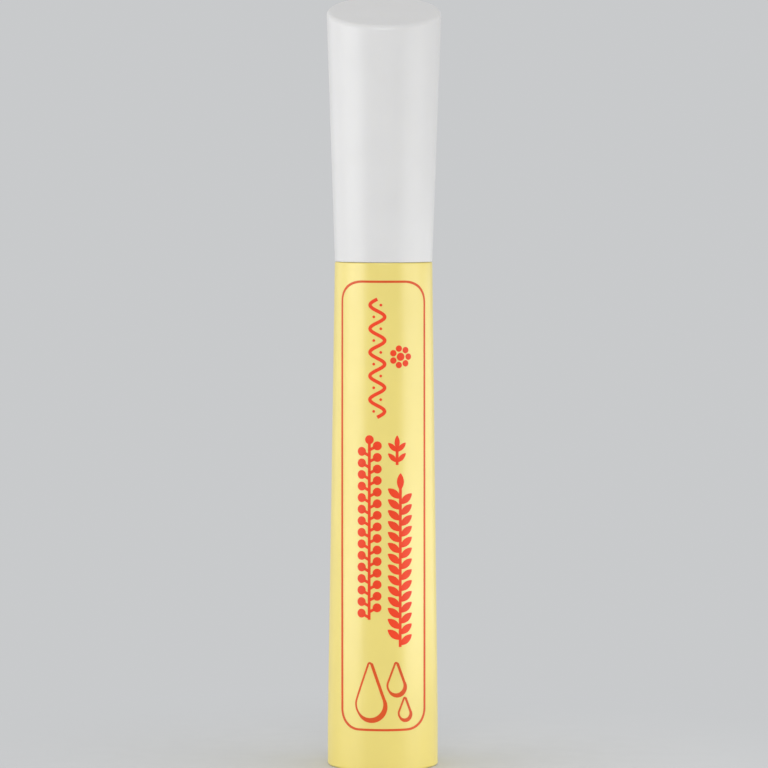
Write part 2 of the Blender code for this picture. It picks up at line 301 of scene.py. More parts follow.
def filleted(corners):
    """The points of a profile whose corners are (radius, height) or (radius, height, fillet)."""
    points = []
    for index, corner in enumerate(corners):
        here = Vector(corner[:2])
        if len(corner) == 2:
            points.append(here)
            continue
        previous, following = corners[index - 1], corners[(index + 1) % len(corners)]
        before = Vector(previous[:2]) - here
        after = Vector(following[:2]) - here
        half = before.angle(after) / 2
        room = min(room_beside(previous, before), room_beside(following, after))
        setback = min(corner[2] / math.tan(half), room)
        radius = setback * math.tan(half)
        inward = (before.normalized() + after.normalized()).normalized()
        centre = here + inward * radius / math.sin(half)
        start = here + before.normalized() * setback - centre
        end = here + after.normalized() * setback - centre
        sweep = start.angle_signed(end)
        steps = max(4, round(abs(sweep) * radius / FILLET_FACET))
        for step in range(steps + 1):
            points.append(centre + Matrix.Rotation(-sweep * step / steps, 2) @ start)
    return points


def guarded(points, is_loop):
    """Adds a point near each end of every long side, so that its shading stays even."""
    result = []
    last = len(points) if is_loop else len(points) - 1
    for index in range(last):
        start, end = points[index], points[(index + 1) % len(points)]
        side = end - start
        result.append(start)
        if side.length > 3 * GUARD:
            result.append(start + side.normalized() * GUARD)
            result.append(end - side.normalized() * GUARD)
    if not is_loop:
        result.append(points[-1])
    return result


def linked(name, data, material=None):
    """A new object in the scene, with its material."""
    obj = bpy.data.objects.new(name, data)
    bpy.context.scene.collection.objects.link(obj)
    if material:
        data.materials.append(material)
    return obj


def built(name, mesh, material=None):
    """A new object in the scene that takes over a bmesh."""
    data = bpy.data.meshes.new(name)
    mesh.to_mesh(data)
    mesh.free()
    return linked(name, data, material)


def smoothed(mesh):
    """Shades a mesh smooth between its sharp edges."""
    mesh.shade_smooth()
    mesh.set_sharp_from_angle(angle=SMOOTH_ANGLE)


def applied(obj):
    """Turns the object's modifiers into plain mesh."""
    bpy.context.view_layer.update()
    graph = bpy.context.evaluated_depsgraph_get()
    mesh = bpy.data.meshes.new_from_object(obj.evaluated_get(graph))
    obj.modifiers.clear()
    obj.data = mesh
    smoothed(mesh)
    return obj


def turned(name, corners, steps, material, is_loop=True):
    """A profile turned about Z. It runs down its outer side, and an open one ends on the axis."""
    points = guarded(filleted(corners), is_loop)
    edges = [(i, i + 1) for i in range(len(points) - 1)]
    if is_loop:
        edges.append((len(points) - 1, 0))
    mesh = bpy.data.meshes.new(name)
    mesh.from_pydata([(point.x, 0.0, point.y) for point in points], edges, [])
    obj = linked(name, mesh, material)
    turn = obj.modifiers.new("turn", "SCREW")
    turn.axis = "Z"
    turn.angle = math.tau
    turn.steps = steps
    turn.render_steps = steps
    turn.use_merge_vertices = True
    turn.merge_threshold = 1e-6
    return applied(obj)


# Materials

def noise(tree, size, detail=3.0, stretch=(1.0, 1.0, 1.0)):
    """Noise in object space whose features are about the given size in metres."""
    place = tree.nodes.new("ShaderNodeTexCoord")
    mapping = tree.nodes.new("ShaderNodeMapping")
    mapping.inputs["Scale"].default_value = stretch
    texture = tree.nodes.new("ShaderNodeTexNoise")
    texture.inputs["Scale"].default_value = 1.0 / size
    texture.inputs["Detail"].default_value = detail
    tree.links.new(place.outputs["Object"], mapping.inputs["Vector"])
    tree.links.new(mapping.outputs["Vector"], texture.inputs["Vector"])
    return texture.outputs["Fac"]


def ranged(tree, value, low, high, start=0.3, end=0.7, kind="LINEAR"):
    """Maps a value, noise as a rule, from start..end to low..high."""
    node = tree.nodes.new("ShaderNodeMapRange")
    node.interpolation_type = kind
    node.inputs["From Min"].default_value = start
    node.inputs["From Max"].default_value = end
    node.inputs["To Min"].default_value = low
    node.inputs["To Max"].default_value = high
    tree.links.new(value, node.inputs["Value"])
    return node.outputs["Result"]


def combined(tree, operation, first, second):
    """The sum, product or larger of two values, as the operation says."""
    node = tree.nodes.new("ShaderNodeMath")
    node.operation = operation
    tree.links.new(first, node.inputs[0])
    tree.links.new(second, node.inputs[1])
    return node.outputs["Value"]


def shaded(colour, factor):
    return tuple(min(channel * factor, 1.0) for channel in colour)


def mottled(tree, colour, spread, size):
    """A colour that goes from a little darker to a little lighter in clouds."""
    node = tree.nodes.new("ShaderNodeMix")
    node.data_type = "RGBA"
    node.inputs["A"].default_value = (*shaded(colour, 1.0 - spread), 1.0)
    node.inputs["B"].default_value = (*shaded(colour, 1.0 + spread), 1.0)
    tree.links.new(ranged(tree, noise(tree, size), 0.0, 1.0), node.inputs["Factor"])
    return node.outputs["Result"]


def plastic(name, colour, roughness, mottle=0.02, grain=0.00012, relief=0.000002, scuffs=0.0,
            scattering=0.0, transmission=0.0, ior=1.70):
    """Moulded plastic: faint clouds of colour, uneven gloss, a fine spark-eroded grain and scuffs."""
    material = bpy.data.materials.new(name)
    material.use_nodes = True
    tree = material.node_tree
    shader = tree.nodes["Principled BSDF"]
    shader.inputs["IOR"].default_value = ior
    shader.inputs["Transmission Weight"].default_value = transmission
    if scattering:
        shader.inputs["Subsurface Weight"].default_value = scattering
        shader.inputs["Subsurface Radius"].default_value = SCATTER_RADIUS
        shader.inputs["Subsurface Scale"].default_value = SCATTER_SCALE

    tint = mottled(tree, colour, mottle, CLOUD_SIZE)
    tree.links.new(tint, shader.inputs["Base Color"])

    patches = noise(tree, GLOSS_SIZE, detail=5.0)
    gloss = ranged(tree, patches, roughness - GLOSS_SPREAD, roughness + GLOSS_SPREAD)
    if scuffs:
        lines = noise(tree, SCUFF_SIZE, detail=4.0, stretch=SCUFF_STRETCH)
        worn = ranged(tree, lines, 0.0, scuffs, SCUFF_START, SCUFF_END)
        gloss = combined(tree, "ADD", gloss, worn)
    tree.links.new(gloss, shader.inputs["Roughness"])

    bump = tree.nodes.new("ShaderNodeBump")
    bump.inputs["Strength"].default_value = 1.0
    bump.inputs["Distance"].default_value = relief
    tree.links.new(noise(tree, grain, detail=2.0), bump.inputs["Height"])
    tree.links.new(bump.outputs["Normal"], shader.inputs["Normal"])
    return material


YELLOW = plastic("sleeve_yellow", (0.81, 0.665, 0.150), 0.31, scuffs=0.05, scattering=0.06, ior=2.0)
PLUG_YELLOW = plastic("plug_yellow", (0.76, 0.62, 0.18), 0.42, grain=0.0002, relief=0.000004)
WHITE = plastic("cap_white", (0.687, 0.682, 0.677), 0.36, mottle=0.012, scuffs=0.04, scattering=0.06)
NATURAL = plastic("core_natural", (0.78, 0.78, 0.74), 0.45, scattering=0.2)
CLEAR = plastic("vial_clear", (0.88, 0.90, 0.87), 0.20, mottle=0.01, transmission=0.55)
SOFT_WIPER = plastic("wiper_natural", (0.80, 0.80, 0.76), 0.50, scattering=0.3)
FOAM = plastic("washer_foam", (0.74, 0.74, 0.71), 0.75, mottle=0.05, grain=0.00015, relief=0.00002)
ROD_WHITE = plastic("rod_white", (0.80, 0.80, 0.78), 0.30, scuffs=0.06, scattering=0.1)
SILICONE = plastic("tip_silicone", (0.84, 0.42, 0.27), 0.50, scattering=0.35, grain=0.0001)
INK = plastic("print_ink", (0.82, 0.045, 0.004), 0.40, mottle=0.05, grain=0.0001, ior=1.45)
LINE_INK = plastic("line_ink", (0.68, 0.075, 0.005), 0.40, mottle=0.05, grain=0.0001, ior=1.45)


# The bottle

def make_sleeve():
    """The yellow sleeve with its foot ring, the plug's groove, the cap's spigot and the lip."""
    foot_bore = FOOT_RADIUS - SLEEVE_WALL
    groove = PLUG_RECESS + PLUG_DISC
    underside = SLEEVE_HIGH.z - LIP_THICKNESS
    seat = CAP_LOW.z - SEAM_LINE
    corners = [
        (SPIGOT_RADIUS, SLEEVE_HIGH.z, EDGE_ROUNDING),
        (SPIGOT_RADIUS, seat, EDGE_ROUNDING),
        (SEAM_RADIUS, seat, SHOULDER_ROUNDING),
        (FOOT_RADIUS, BASE_BAND, BAND_ROUNDING),
        (FOOT_RADIUS, 0.0, FOOT_ROUNDING),
        (foot_bore, 0.0, EDGE_ROUNDING),
        (foot_bore, groove - PLUG_BEAD),
        (foot_bore + PLUG_BEAD, groove),
        (foot_bore, groove + PLUG_BEAD),
        (foot_bore, BASE_BAND),
        (sleeve_radius(underside) - SLEEVE_WALL, underside),
        (LIP_BORE, underside),
        (LIP_BORE, SLEEVE_HIGH.z, EDGE_ROUNDING),
    ]
    return turned("sleeve_shell", corners, FINE_STEPS, YELLOW)


def make_plug():
    """The foot's plug: a dished disc with a gate mark, and the skirt that carries the vial."""
    low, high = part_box("base_plug")
    radius = FOOT_RADIUS - SLEEVE_WALL - SEAT_GAP
    disc_top = PLUG_RECESS + PLUG_DISC
    dish = low.z + PLUG_DISH
    corners = [
        (0.0, disc_top),
        (radius - PLUG_WALL, disc_top),
        (radius - PLUG_WALL, high.z),
        (radius, high.z),
        (radius, disc_top + PLUG_BEAD),
        (radius + PLUG_BEAD, disc_top),
        (radius, disc_top - PLUG_BEAD),
        (radius, low.z, EDGE_ROUNDING),
        (radius - PLUG_RIM, low.z, EDGE_ROUNDING),
        (radius - PLUG_RIM - PLUG_DISH, dish, EDGE_ROUNDING),
        (GATE_RADIUS + 2 * GATE_DEPTH, dish, EDGE_ROUNDING),
        (GATE_RADIUS, dish - GATE_DEPTH, EDGE_ROUNDING),
        (0.0, dish - GATE_DEPTH),
    ]
    return turned("foot_plug", corners, FINE_STEPS, PLUG_YELLOW, is_loop=False)


def make_vial():
    """The blown vial: a body that follows the sleeve, a shoulder, and a neck with a snap bead."""
    low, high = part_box("inner_vial")
    shoulder = SLEEVE_HIGH.z - LIP_THICKNESS - SEAT_GAP
    inner_shoulder = shoulder - VIAL_WALL
    snap = SLEEVE_HIGH.z + SEAT_GAP + SNAP_BEAD
    corners = [
        (0.0, low.z + VIAL_PUNT + VIAL_WALL),
        (vial_radius(low.z) - VIAL_WALL, low.z + VIAL_WALL, VIAL_SHOULDER_RADIUS),
        (vial_radius(BASE_BAND) - VIAL_WALL, BASE_BAND),
        (vial_radius(inner_shoulder) - VIAL_WALL, inner_shoulder, VIAL_SHOULDER_RADIUS),
        (NECK_BORE, inner_shoulder, EDGE_ROUNDING),
        (NECK_BORE, high.z, EDGE_ROUNDING),
        (NECK_RADIUS, high.z, MOUTH_ROUNDING),
        (NECK_RADIUS, snap + SNAP_BEAD, EDGE_ROUNDING),
        (NECK_RADIUS + SNAP_BEAD, snap, EDGE_ROUNDING),
        (NECK_RADIUS, snap - SNAP_BEAD, EDGE_ROUNDING),
        (NECK_RADIUS, shoulder),
        (vial_radius(shoulder), shoulder, VIAL_SHOULDER_RADIUS),
        (vial_radius(BASE_BAND), BASE_BAND),
        (vial_radius(low.z), low.z, VIAL_SHOULDER_RADIUS),
        (0.0, low.z + VIAL_PUNT),
    ]
    return turned("vial_body", corners, SMALL_STEPS, CLEAR, is_loop=False)


def make_wiper():
    """The soft wiper: a rounded flange, a tube, and a cone that ends in a thin lip."""
    low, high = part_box("wiper")
    outer = NECK_BORE - SEAT_GAP
    inner = outer - WIPER_WALL
    orifice = ROD_RADIUS + WIPER_CLEARANCE
    flange_bottom = high.z - WIPER_FLANGE
    cone_top = low.z + WIPER_CONE
    corners = [
        (NECK_RADIUS, high.z, WIPER_ROUNDING),
        (NECK_RADIUS, flange_bottom, EDGE_ROUNDING),
        (outer, flange_bottom),
        (outer, cone_top, CONE_ROUNDING),
        (orifice + WIPER_LIP, low.z, EDGE_ROUNDING),
        (orifice, low.z, EDGE_ROUNDING),
        (inner, cone_top, CONE_ROUNDING),
        (inner, flange_bottom, WIPER_ROUNDING),
        (inner + WIPER_WALL / 2, high.z, EDGE_ROUNDING),
    ]
    return turned("wiper_insert", corners, SMALL_STEPS, SOFT_WIPER)


def make_washer():
    """The foam washer, its edges a little rounded from being pressed."""
    low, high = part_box("seal_washer")
    bore = ROD_RADIUS + SEAT_GAP
    corners = [
        (high.x, high.z, WASHER_ROUNDING),
        (high.x, low.z, WASHER_ROUNDING),
        (bore, low.z, WASHER_BORE_ROUNDING),
        (bore, high.z, WASHER_BORE_ROUNDING),
    ]
    return turned("washer_foam", corners, SMALL_STEPS, FOAM)


# The wand and the cap

def make_rod():
    """The wand's stem with its barbed head and the bore that takes the tip."""
    low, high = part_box("rod")
    corners = [(0.0, high.z), (ROD_RADIUS - LEAD_IN, high.z), (ROD_RADIUS, high.z - LEAD_IN)]
    for barb in range(BARB_COUNT):
        crest = high.z - (barb + 1) * BARB_PITCH
        corners.append((ROD_RADIUS + BARB_HEIGHT, crest))
        corners.append((ROD_RADIUS, crest))
    corners += [
        (ROD_RADIUS, low.z, EDGE_ROUNDING),
        (ROD_BORE, low.z, EDGE_ROUNDING),
        (ROD_BORE, low.z + TIP_SHANK),
        (0.0, low.z + TIP_SHANK),
    ]
    return turned("wand_stem", corners, SMALL_STEPS, ROD_WHITE, is_loop=False)


def hoof_cutter(nose):
    """A cylinder across the tip that hollows its front out and leaves a thin hoof at the nose."""
    mesh = bmesh.new()
    bmesh.ops.create_cone(
        mesh,
        cap_ends=True,
        segments=FINE_STEPS,
        radius1=HOOF_FACE_RADIUS,
        radius2=HOOF_FACE_RADIUS,
        depth=3 * ROD_RADIUS,
        matrix=Matrix.Rotation(math.radians(90), 4, "Y"),
    )
    cutter = built("hoof_cutter", mesh)
    edge = Vector((0.0, ROD_RADIUS - HOOF_THICKNESS, nose))
    reach = math.asin(HOOF_LENGTH / HOOF_FACE_RADIUS)
    cutter.location = edge - HOOF_FACE_RADIUS * Vector((0.0, math.cos(reach), math.sin(reach)))
    return cutter


def make_tip():
    """The soft tip: a shank, a waist, and a body cut to a hollow slanted face with soft edges."""
    low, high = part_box("applicator_tip")
    seat = high.z - TIP_SHANK + SEAT_GAP
    shank = ROD_BORE - SEAT_GAP
    corners = [
        (0.0, high.z),
        (shank - LEAD_IN, high.z),
        (shank, high.z - LEAD_IN),
        (shank, seat),
        (ROD_RADIUS, seat, EDGE_ROUNDING),
        (TIP_WAIST, seat - TIP_NECK, TIP_NECK),
        (ROD_RADIUS, low.z + TIP_BODY, TIP_NECK),
        (ROD_RADIUS, low.z, TIP_NOSE),
        (0.0, low.z),
    ]
    tip = turned("wand_tip", corners, SMALL_STEPS, SILICONE, is_loop=False)
    cutter = hoof_cutter(low.z)
    cut = tip.modifiers.new("cut", "BOOLEAN")
    cut.solver = "EXACT"
    cut.object = cutter
    remesh = tip.modifiers.new("even_skin", "REMESH")
    remesh.mode = "VOXEL"
    remesh.voxel_size = TIP_SKIN
    soften = tip.modifiers.new("soft_edges", "SMOOTH")
    soften.factor = 0.5
    soften.iterations = 5
    applied(tip)
    bpy.data.objects.remove(cutter, do_unlink=True)
    return tip


def make_cap():
    """The flared shell, turned taller than it is, then cut by the slanted plane and rounded."""
    above = CAP_LOW.z + CAP_FLARE_HEIGHT + CAP_WALL
    bore = SEAM_RADIUS - CAP_WALL
    chamber = bore - STOP_WIDTH
    middle = CAP_LOW.z + CAP_FLARE_HEIGHT - CAP_FLARE_RADIUS * math.tan(TOP_SLANT)
    roof = middle - chamber * math.tan(TOP_SLANT) - CAP_ROOF
    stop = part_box("seal_washer")[1].z + INNER_ROOF + 2 * SEAT_GAP
    corners = [
        (0.0, above),
        (cap_radius(above), above),
        (SEAM_RADIUS, CAP_LOW.z, SEAM_ROUNDING),
        (bore + LEAD_IN, CAP_LOW.z, EDGE_ROUNDING),
        (bore, CAP_LOW.z + LEAD_IN, EDGE_ROUNDING),
        (bore, stop),
        (chamber, stop),
        (chamber, roof),
        (0.0, roof),
    ]
    cap = turned("cap_flared", corners, FINE_STEPS, WHITE, is_loop=False)
    mesh = bmesh.new()
    mesh.from_mesh(cap.data)
    cut = bmesh.ops.bisect_plane(
        mesh,
        geom=mesh.verts[:] + mesh.edges[:] + mesh.faces[:],
        plane_co=(0.0, 0.0, middle),
        plane_no=(0.0, -math.sin(TOP_SLANT), math.cos(TOP_SLANT)),
        clear_outer=True,
    )
    rim = [item for item in cut["geom_cut"] if isinstance(item, bmesh.types.BMEdge)]
    bmesh.ops.edgenet_fill(mesh, edges=rim)
    bmesh.ops.bevel(
        mesh, geom=rim, offset=RIM_ROUNDING, segments=RIM_FACETS, profile=0.5, affect="EDGES"
    )
    top = max(mesh.faces, key=lambda face: len(face.verts))
    bmesh.ops.inset_region(mesh, faces=[top], thickness=GUARD)
    bmesh.ops.recalc_face_normals(mesh, faces=mesh.faces)
    mesh.to_mesh(cap.data)
    mesh.free()
    smoothed(cap.data)
    return cap


# Screw threads

def make_thread(name, radius, side, start, material):
    """A right-handed thread ridge on a round wall; side is 1 outwards and -1 inwards."""
    profile = [
        (-THREAD_SUNK, -THREAD_ROOT / 2),
        (0.0, -THREAD_ROOT / 2),
        (THREAD_HEIGHT, -THREAD_CREST / 2),
        (THREAD_HEIGHT, THREAD_CREST / 2),
        (0.0, THREAD_ROOT / 2),
        (-THREAD_SUNK, THREAD_ROOT / 2),
    ]
    sweep = THREAD_TURNS * math.tau
    count = round(THREAD_STEPS * THREAD_TURNS)
    mesh = bmesh.new()
    rings = []
    for step in range(count + 1):
        angle = sweep * step / count
        nearest_end = min(angle, sweep - angle)
        growth = math.sin(min(nearest_end / THREAD_RUNOUT, 1.0) * math.pi / 2)
        size = growth * (1.0 - THREAD_END_SIZE) + THREAD_END_SIZE
        ring = []
        for out, up in profile:
            reach = radius + side * (out * size if out > 0 else out)
            height = start + THREAD_PITCH * angle / math.tau + up * size
            place = (reach * math.sin(angle), -reach * math.cos(angle), height)
            ring.append(mesh.verts.new(place))
        rings.append(ring)
    for first, second in zip(rings, rings[1:]):
        for index in range(len(profile)):
            following = (index + 1) % len(profile)
            mesh.faces.new((first[index], first[following], second[following], second[index]))
    mesh.faces.new(rings[0])
    mesh.faces.new(reversed(rings[-1]))
    bmesh.ops.recalc_face_normals(mesh, faces=mesh.faces)
    thread = built(name, mesh, material)
    soften = thread.modifiers.new("soft_edges", "BEVEL")
    soften.width = THREAD_ROUNDING
    soften.segments = 2
    soften.limit_method = "ANGLE"
    return applied(thread)


# Drawing the print

def laid_round(across, height):
    """The place on the sleeve of a point of the flat print."""
    radius = sleeve_radius(height)
    angle = across / radius
    reach = radius + INK_PROUD
    return Vector((reach * math.sin(angle), -reach * math.cos(angle), height))


def even(points, is_loop):
    """Adds points to a path's sides so that no step is longer than the print's step."""
    result = []
    last = len(points) if is_loop else len(points) - 1
    for index in range(last):
        start, end = points[index], points[(index + 1) % len(points)]
        steps = max(1, math.ceil((end - start).length / INK_STEP))
        for step in range(steps):
            result.append(start.lerp(end, step / steps))
    if not is_loop:
        result.append(points[-1])
    return result


def sideways(points, index, is_loop):
    """The direction to the left of a path at a point, lengthened at a corner as a mitre is."""
    here = points[index]
    before = points[index - 1] if index or is_loop else here
    after = points[(index + 1) % len(points)] if index < len(points) - 1 or is_loop else here
    first = (here - before).normalized() if before != here else (after - here).normalized()
    second = (after - here).normalized() if after != here else first
    along = (first + second).normalized()
    return Vector((-along.y, along.x)) / along.dot(first)


def plain_line(width):
    """A stroke of one width: its reach to the left and to the right of the path."""
    return lambda share, left: (width / 2, width / 2)


def framing_line(width, growth):
    """A stroke that is wider where it runs upright, on the sides of the sleeve."""
    def reach(share, left):
        half = width * (1.0 + growth * abs(left.x)) / 2
        return half, half
    return reach


def shadowed_line(width, shadow):
    """A thin outline, drawn clockwise, that thickens outwards on its lower right side."""
    return lambda share, left: (width / 2 + shadow * max(0.0, left.dot(SHADOW_SIDE)), width / 2)


def blade(half_width):
    """A leaf: a stroke that swells in the middle and ends in blunt points."""
    def reach(share, left):
        swell = LEAF_POINT + half_width * math.sin(math.pi * share) ** LEAF_FULLNESS
        return swell, swell
    return reach


def add_stroke(mesh, path, is_loop, widest, reach):
    """A ribbon along a path, in columns, so that it bends with the sleeve."""
    points = even([Vector(point) for point in path], is_loop)
    columns = max(2, math.ceil(widest / INK_STEP))
    rows = []
    for index, point in enumerate(points):
        side = sideways(points, index, is_loop)
        to_left, to_right = reach(index / (len(points) - 1), side.normalized())
        row = []
        for column in range(columns + 1):
            spot = point + side * (-to_right + (to_left + to_right) * column / columns)
            row.append(mesh.verts.new(laid_round(spot.x, spot.y)))
        rows.append(row)
    following = rows[1:] + rows[:1] if is_loop else rows[1:]
    for first, second in zip(rows, following):
        for column in range(columns):
            mesh.faces.new((first[column], second[column], second[column + 1], first[column + 1]))


def add_dot(mesh, centre, radius):
    """A disc in rings, so that it bends with the sleeve."""
    rings = max(1, math.ceil(radius / INK_STEP))
    middle = mesh.verts.new(laid_round(*centre))
    inner = None
    for ring in range(1, rings + 1):
        rim = []
        for step in range(DOT_STEPS):
            angle = math.tau * step / DOT_STEPS
            across = centre[0] + radius * ring / rings * math.cos(angle)
            height = centre[1] + radius * ring / rings * math.sin(angle)
            rim.append(mesh.verts.new(laid_round(across, height)))
        for step in range(DOT_STEPS):
            after = (step + 1) % DOT_STEPS
            if inner:
                mesh.faces.new((inner[step], rim[step], rim[after], inner[after]))
            else:
                mesh.faces.new((middle, rim[step], rim[after]))
        inner = rim


def printed(name, material, strokes=(), dots=()):
    """One printed motif as a thin closed skin: strokes are (path, is_loop, widest, reach)."""
    mesh = bmesh.new()
    for stroke in strokes:
        add_stroke(mesh, *stroke)
    for dot in dots:
        add_dot(mesh, *dot)
    motif = built(name, mesh, material)
    thick = motif.modifiers.new("thick", "SOLIDIFY")
    thick.thickness = INK_DEPTH
    thick.offset = -1.0
    return applied(motif)


def arc(across, height, radius, start, sweep, steps):
    """The points of a clockwise arc, its angles measured from upright."""
    points = []
    for step in range(steps + 1):
        angle = start + sweep * step / steps
        points.append(Vector((across + radius * math.sin(angle), height + radius * math.cos(angle))))
    return points


def stem(start, end):
    """A straight stroke."""
    return [start, end], False, STEM_LINE, plain_line(STEM_LINE)


def leaf(base, angle, length, half_width):
    """A leaf that grows from a point, its angle measured from upright."""
    start = Vector(base)
    end = start + length * Vector((math.sin(angle), math.cos(angle)))
    return [start, end], False, 2 * half_width, blade(half_width)


def alternating(centre, bottom, top, pitch, first_side):
    """The side and place of each leaf or berry that grows by turns on either side of a stem."""
    places = []
    for number in range(math.floor((top - bottom) / pitch)):
        for side, lift in ((first_side, 0.0), (-first_side, 0.5)):
            height = bottom + STEM_FOOT + pitch * (number + lift)
            places.append((side, Vector((centre, height))))
    return places


# The print

def make_frame():
    """The line round the print, with rounded corners."""
    outline = []
    for index, (across, height, width, rise) in enumerate(FRAME_CORNERS):
        inwards = rise if index in (0, 3) else -rise
        centre = Vector((across - math.copysign(width, across), height + inwards))
        for step in range(CORNER_STEPS + 1):
            angle = math.radians(90 * (index - 1 + step / CORNER_STEPS))
            outline.append(centre + Vector((width * math.cos(angle), rise * math.sin(angle))))
    widest = FRAME_LINE * (1.0 + UPRIGHT_GROWTH)
    line = (outline, True, widest, framing_line(FRAME_LINE, UPRIGHT_GROWTH))
    return printed("print_frame", LINE_INK, [line])


def make_vine():
    """A wave with a dot in each bend."""
    rise = VINE_TOP - VINE_BOTTOM
    count = VINE_WAVES * WAVE_STEPS
    points = []
    for step in range(count + 1):
        share = step / count
        across = VINE_CENTRE + VINE_SWING * math.sin(share * VINE_WAVES * math.tau)
        points.append((across, VINE_BOTTOM + rise * share))
    dots = []
    for bend in range(2 * VINE_WAVES):
        side = -1 if bend % 2 == 0 else 1
        height = VINE_BOTTOM + rise * (bend + 0.5) / (2 * VINE_WAVES)
        dots.append(((VINE_CENTRE + side * VINE_DOT_SWING, height), VINE_DOT_RADIUS))
    line = (points, False, VINE_LINE, plain_line(VINE_LINE))
    return printed("print_vine", INK, [line], dots)


def make_rosette():
    """A ring of dots round a larger one."""
    dots = [(ROSETTE_CENTRE, HEART_RADIUS)]
    for petal in range(PETAL_COUNT):
        angle = math.tau * petal / PETAL_COUNT
        across = ROSETTE_CENTRE[0] + ROSETTE_RING * math.cos(angle)
        height = ROSETTE_CENTRE[1] + ROSETTE_RING * math.sin(angle)
        dots.append(((across, height), PETAL_RADIUS))
    return printed("print_rosette", INK, dots=dots)


def make_sprout():
    """A short stem with two pairs of leaves and one leaf at its end."""
    strokes = [stem((SPROUT_CENTRE, SPROUT_BOTTOM), (SPROUT_CENTRE, SPROUT_TOP))]
    for height in SPROUT_PAIRS:
        for side in (-1, 1):
            strokes.append(leaf((SPROUT_CENTRE, height), side * SPROUT_LEAN, *SPROUT_LEAF))
    strokes.append(leaf((SPROUT_CENTRE, SPROUT_TOP - END_LEAF_OVERLAP), 0.0, *SPROUT_END_LEAF))
    return printed("print_sprout", INK, strokes)


def make_leaf_sprig():
    """A stem with leaves that alternate from side to side, and one leaf at its end."""
    centre, bottom, top = LEAF_SPRIG_CENTRE, LEAF_SPRIG_BOTTOM, LEAF_SPRIG_TOP
    strokes = [stem((centre, bottom), (centre, top))]
    for side, base in alternating(centre, bottom, top, LEAF_PITCH, RIGHT):
        strokes.append(leaf(base, side * LEAF_LEAN, *SPRIG_LEAF))
    strokes.append(leaf((centre, top - END_LEAF_OVERLAP), 0.0, *SPRIG_END_LEAF))
    return printed("print_leaf_sprig", INK, strokes)


def make_berry_sprig():
    """A stem with berries on short stalks that alternate from side to side."""
    centre, bottom, top = BERRY_SPRIG_CENTRE, BERRY_SPRIG_BOTTOM, BERRY_SPRIG_TOP
    strokes = [stem((centre, bottom), (centre, top))]
    dots = [((centre, top), BERRY_RADIUS)]
    for side, base in alternating(centre, bottom, top, BERRY_PITCH, LEFT):
        end = base + BERRY_STALK * Vector((side * math.sin(BERRY_LEAN), math.cos(BERRY_LEAN)))
        strokes.append(stem(base, end))
        dots.append((tuple(end), BERRY_RADIUS))
    return printed("print_berry_sprig", INK, strokes, dots)


def make_drops():
    """Drops, each a large round foot and a small round tip joined by straight sides."""
    strokes = []
    for across, height, foot, tip, length, shadow in DROPS:
        lean = math.acos((foot - tip) / length)
        outline = arc(across, height, foot, lean, math.tau - 2 * lean, DROP_FOOT_STEPS)
        outline += arc(across, height + length, tip, -lean, 2 * lean, DROP_TIP_STEPS)
        strokes.append((outline, True, DROP_LINE + shadow, shadowed_line(DROP_LINE, shadow)))
    return printed("print_drops", LINE_INK, strokes)


# Room, lights and camera

def background_share(tree):
    """1 for rays that see the room itself or through glass and gloss, and 0 for rays that light it."""
    path = tree.nodes.new("ShaderNodeLightPath").outputs
    seen = combined(tree, "MAXIMUM", path["Is Camera Ray"], path["Is Glossy Ray"])
    return combined(tree, "MAXIMUM", seen, path["Is Transmission Ray"])


def mixed(tree, share, first, second):
    """Two shaders mixed by a share, which is 0 for the first and 1 for the second."""
    node = tree.nodes.new("ShaderNodeMixShader")
    tree.links.new(share, node.inputs["Fac"])
    tree.links.new(first, node.inputs[1])
    tree.links.new(second, node.inputs[2])
    return node.outputs["Shader"]


def make_world():
    """An even light all round, which shows as the background where it is seen."""
    world = bpy.data.worlds.new("studio")
    bpy.context.scene.world = world
    world.use_nodes = True
    tree = world.node_tree
    tree.nodes.clear()
    seen = tree.nodes.new("ShaderNodeBackground")
    seen.inputs["Color"].default_value = (*BACKGROUND, 1.0)
    light = tree.nodes.new("ShaderNodeBackground")
    light.inputs["Color"].default_value = (1.0, 1.0, 1.0, 1.0)
    light.inputs["Strength"].default_value = WORLD_LIGHT
    output = tree.nodes.new("ShaderNodeOutputWorld")
    sky = mixed(tree, background_share(tree), light.outputs["Background"], seen.outputs["Background"])
    tree.links.new(sky, output.inputs["Surface"])


def make_floor():
    """A pale floor that keeps the pen's shadow and fades into the background further out."""
    material = bpy.data.materials.new("floor_paper")
    material.use_nodes = True
    tree = material.node_tree
    shader = tree.nodes["Principled BSDF"]
    shader.inputs["Roughness"].default_value = 0.9
    shader.inputs["Specular IOR Level"].default_value = 0.1
    tone = mottled(tree, BACKGROUND, FLOOR_MOTTLE, FLOOR_CLOUDS)
    tree.links.new(tone, shader.inputs["Base Color"])
    far = tree.nodes.new("ShaderNodeEmission")
    far.inputs["Color"].default_value = (*BACKGROUND, 1.0)
    place = tree.nodes.new("ShaderNodeTexCoord")
    length = tree.nodes.new("ShaderNodeVectorMath")
    length.operation = "LENGTH"
    tree.links.new(place.outputs["Object"], length.inputs[0])
    fade = ranged(tree, length.outputs["Value"], 0.0, 1.0, FADE_START, FADE_END, "SMOOTHSTEP")
    share = combined(tree, "MULTIPLY", fade, background_share(tree))
    surface = mixed(tree, share, shader.outputs["BSDF"], far.outputs["Emission"])
    tree.links.new(surface, tree.nodes["Material Output"].inputs["Surface"])

    mesh = bmesh.new()
    bmesh.ops.create_grid(mesh, x_segments=8, y_segments=8, size=FLOOR_REACH)
    floor = built("floor", mesh, material)
    floor.location = (0.0, 0.0, CAD_LOW.z - FLOOR_GAP)


